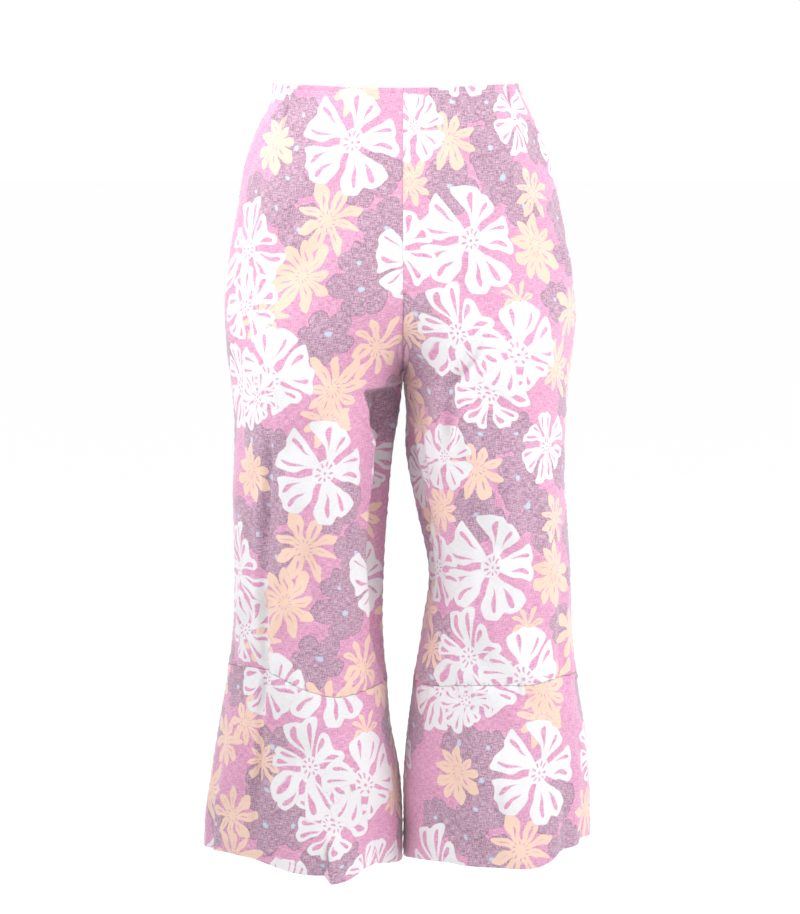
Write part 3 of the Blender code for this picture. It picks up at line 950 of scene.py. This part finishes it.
for quarter, (strip_name, print_shift) in UPPER_CUTS.items():
    face_name, side_name = quarter.split("_")
    side, face = SIDES[side_name], FACES[face_name]
    columns = panel_columns([DARTS[quarter].top])
    points, across, down = panel_grid(
        quarter, side, face, columns,
        UPPER_SHARES,
        lambda share: edge_drop("waist", face_name, share),
        lambda share: edge_drop("knee", quarter, share) - SEAM_GAP,
        (WAIST_TURN, KNEE_TURN),
    )
    print_across = (across - print_lean(down)) * side * -face
    dart_column = len(ALLOWANCE) + int(np.argmin(np.abs(columns - DARTS[quarter].top)))
    panel, flat, area = cloth_panel(
        f"{quarter}_cloth", points, print_across, down, side * face > 0, strip_name,
        print_shift, (DARTS[quarter], dart_column, side * -face),
    )
    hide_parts(quarter)

# ---------------------------------------------------------------------------
# The four flared lower panels, sewn on below the knee. They are cut from the same
# cotton with the print in another place, and the hem is turned up inside and blind
# stitched, so that no thread shows.

LOWER_CUTS = {
    "front_left": ("right", (0.101, -0.433)),
    "front_right": ("left", (-0.161, -0.626)),
    "back_left": ("right", (0.110, -0.470)),
    "back_right": ("left", (0.030, -0.560)),
}
HEM_TURN = ((-0.0003, -0.0001), (0.0000, -0.00035), (0.0000, -0.00075), (-0.0004, -0.00100),
            (-0.0012, -0.00112), (-0.0050, -0.00115), (-0.0100, -0.00115),
            (-0.0150, -0.00115), (-0.0200, -0.00118))
TOP_TURN = ((0.0090, -0.0016), (0.0040, -0.0016))
LOWER_ROWS = 72
LOWER_SHARES = np.concatenate([[0.0, 0.005], np.linspace(0, 1, LOWER_ROWS)[1:-1], [0.995]])

for quarter, (strip_name, print_shift) in LOWER_CUTS.items():
    face_name, side_name = quarter.split("_")
    side, face = SIDES[side_name], FACES[face_name]
    marks = []
    if quarter == SHARP_FOLD["quarter"]:
        marks = [SHARP_FOLD["share"] - SHARP_FOLD["step_width"] / 2]

    def hem_line(share, quarter=quarter):
        hem = edge_drop("hem", quarter, share)
        if quarter == SHARP_FOLD["quarter"]:
            hem = hem + SHARP_FOLD["dip"] * sharp_fold_part(hem, share)
        return hem

    points, across, down = panel_grid(
        quarter, side, face, panel_columns(marks),
        LOWER_SHARES,
        lambda share: edge_drop("knee", quarter, share) + SEAM_GAP,
        hem_line,
        (TOP_TURN, HEM_TURN),
    )
    panel, flat, area = cloth_panel(
        f"lower_{quarter}_cloth", points, (across - print_lean(down)) * side * -face, down,
        side * face > 0, strip_name, print_shift,
    )
    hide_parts(f"lower_{quarter}")

# ---------------------------------------------------------------------------
# The row of topstitching that holds the turned-in waist edge: one lockstitch row of
# pale thread, about 6 mm below the edge, all the way round.

STITCH_PITCH = 0.0030
STITCH_LENGTH = 0.0023
THREAD_RADIUS = 0.00022
THREAD_SUNK = 0.00045  # how deep the stitches lie in the cloth
QUARTER_POINTS = 120  # of the row's path, in each quarter of the waist
SEAM_SHORT = 0.004  # share by which a quarter's points stop short of its seams
THREAD_SHADE = (0.72, 0.50, 0.60, 1)
THREAD_LIGHT = (0.88, 0.72, 0.79, 1)
PLIES_SCALE = 900.0

thread_material, tree, shader = new_material("pale_sewing_thread")
coordinates = tree.nodes.new("ShaderNodeTexCoord")
plies = {"Vector": coordinates.outputs["Object"], "Scale": PLIES_SCALE}
twist = Number(tree, add_node(tree, "ShaderNodeTexWave", plies).outputs["Fac"])
set_inputs(tree, shader, {
    "Base Color": mixed(tree, twist, THREAD_SHADE, THREAD_LIGHT),
    "Roughness": 0.7,
    "Sheen Weight": 0.2,
})

waist_path = []
for quarter in ("front_left", "front_right", "back_right", "back_left"):
    face_name, side_name = quarter.split("_")
    side, face = SIDES[side_name], FACES[face_name]
    share = np.linspace(SEAM_SHORT, 1 - SEAM_SHORT, QUARTER_POINTS)
    drop = edge_drop("waist", face_name, share) + STITCH_DROP
    knee = edge_drop("knee", quarter, share)
    lift = lift_at(quarter, side, face, drop, share, np.abs(drop - knee)) - THREAD_SUNK
    level = section(side, face, drop)
    x, y = off_section(level, level.angle * (1 - share), lift)
    quarter_path = np.stack([side * x, level.seam_y + face * y, -drop], axis=-1)
    waist_path.append(quarter_path[::-1] if side * face > 0 else quarter_path)
ring = np.vstack(waist_path)

line = bpy.data.curves.new("waist_topstitching", "CURVE")
line.dimensions = "3D"
spline = line.splines.new("POLY")
spline.points.add(len(ring) - 1)
spline.points.foreach_set("co", np.column_stack([ring, np.ones(len(ring))]).ravel())
spline.use_cyclic_u = True
stitch_line = put_in_scene("waist_topstitching_line", line)

stitching = bpy.data.node_groups.new("row of stitches", "GeometryNodeTree")
for way in ("INPUT", "OUTPUT"):
    stitching.interface.new_socket("Geometry", in_out=way, socket_type="NodeSocketGeometry")
STITCH_SIZES = {"Pitch": STITCH_PITCH, "Length": STITCH_LENGTH, "Thread radius": THREAD_RADIUS}
sockets = {
    label: stitching.interface.new_socket(label, in_out="INPUT", socket_type="NodeSocketFloat")
    for label in STITCH_SIZES
}
given = stitching.nodes.new("NodeGroupInput").outputs
end = stitching.nodes.new("NodeGroupOutput")
places = add_node(
    stitching, "GeometryNodeCurveToPoints",
    {"Curve": given["Geometry"], "Length": given["Pitch"]}, mode="LENGTH",
)
stitch = add_node(
    stitching, "GeometryNodeMeshUVSphere", {"Segments": 6, "Rings": 6, "Radius": 1.0}
)
half_length = Number(stitching, given["Length"]) * 0.5
size = {"X": given["Thread radius"], "Y": given["Thread radius"], "Z": half_length}
scale = add_node(stitching, "ShaderNodeCombineXYZ", size)
shape = add_node(
    stitching, "GeometryNodeTransform",
    {"Geometry": stitch.outputs["Mesh"], "Scale": scale.outputs[0]},
)
lay = add_node(
    stitching, "FunctionNodeAlignEulerToVector", {"Vector": places.outputs["Tangent"]}, axis="Z"
)
copies = add_node(stitching, "GeometryNodeInstanceOnPoints", {
    "Points": places.outputs["Points"],
    "Instance": shape.outputs["Geometry"],
    "Rotation": lay.outputs["Rotation"],
})
real = add_node(
    stitching, "GeometryNodeRealizeInstances", {"Geometry": copies.outputs["Instances"]}
)
finish = add_node(
    stitching, "GeometryNodeSetMaterial",
    {"Geometry": real.outputs["Geometry"], "Material": thread_material},
)
set_inputs(stitching, end, {"Geometry": finish.outputs["Geometry"]})
row = stitch_line.modifiers.new("stitches", "NODES")
row.node_group = stitching
for label, value in STITCH_SIZES.items():
    row[sockets[label].identifier] = value
evaluated = stitch_line.evaluated_get(bpy.context.evaluated_depsgraph_get())
stitch_mesh = bpy.data.meshes.new_from_object(evaluated)
stitch_mesh.name = "waist_topstitching"
stitch_mesh.shade_smooth()
topstitching = put_in_scene("waist_topstitching", stitch_mesh)
bpy.data.objects.remove(stitch_line, do_unlink=True)
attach(topstitching, "root")

# ---------------------------------------------------------------------------
# The studio: a wide pale floor below the hem, a white surround that is bright overhead
# and at eye height, and a soft light at each side, with the camera at waist height.

FLOOR_DROP = 1.05  # below the waist edge
FLOOR_RADIUS = 40.0
floor_mesh = bpy.data.meshes.new("studio_floor")
floor_shape = bmesh.new()
bmesh.ops.create_circle(floor_shape, cap_ends=True, segments=64, radius=FLOOR_RADIUS)
floor_shape.to_mesh(floor_mesh)
floor_shape.free()
floor = put_in_scene("studio_floor", floor_mesh)
floor.location = (0, 0, -FLOOR_DROP)
floor_material, tree, shader = new_material("pale_floor")
set_inputs(tree, shader, {"Base Color": (0.90, 0.90, 0.91, 1), "Roughness": 0.9})
floor_mesh.materials.append(floor_material)

# Brightness of the surround, and the heights at which it changes, as sines of the angle
OVERHEAD = 1.97
EYE_HEIGHT = 1.04
BETWEEN = 0.10
OVERHEAD_RISE = (0.55, 0.80)
EYE_HEIGHT_FALL = (0.145, 0.175)
world = bpy.data.worlds.new("studio_surround")
bpy.context.scene.world = world
world.use_nodes = True
tree = world.node_tree
direction = tree.nodes.new("ShaderNodeTexCoord")
parts = add_node(tree, "ShaderNodeSeparateXYZ", {0: direction.outputs["Generated"]})
height = Number(tree, parts.outputs[2])
at_eye_height = 1.0 - height.math("ABSOLUTE").step(*EYE_HEIGHT_FALL)
brightness = height.step(*OVERHEAD_RISE) * (OVERHEAD - BETWEEN) + BETWEEN
brightness = brightness + at_eye_height * (EYE_HEIGHT - BETWEEN)
surround = {"Color": (1.0, 0.99, 1.0, 1), "Strength": brightness}
set_inputs(tree, tree.nodes["Background"], surround)

# Place, size, power and spread of each light, all aimed at the middle of the hips
LIGHTS = (
    ("left_softbox", (-0.85, -0.50, 0.50), 0.7, 3.4, 80.0),
    ("right_softbox", (1.25, -0.70, 0.20), 0.8, 17.0, 180.0),
)
AIM = Vector((0, 0, -0.1))
for name, place, size, power, spread in LIGHTS:
    light = bpy.data.lights.new(name, "AREA")
    light.energy = power
    light.size = size
    light.spread = math.radians(spread)
    lamp = put_in_scene(name, light)
    lamp.location = place
    lamp.rotation_euler = (AIM - Vector(place)).to_track_quat("-Z", "Y").to_euler()

bpy.context.scene.view_settings.view_transform = "Standard"
bpy.context.scene.view_settings.look = "None"

LOOK_DOWN = 6.34  # degrees
camera_data = bpy.data.cameras.new("camera")
camera_data.sensor_fit = "HORIZONTAL"
camera_data.sensor_width = 36.0
camera_data.lens = 143.2
camera_data.clip_end = 200.0
camera = put_in_scene("camera", camera_data)
camera.location = (-0.003, -3.2, -0.02)
camera.rotation_euler = (math.radians(90 - LOOK_DOWN), 0, 0)
bpy.context.scene.camera = camera
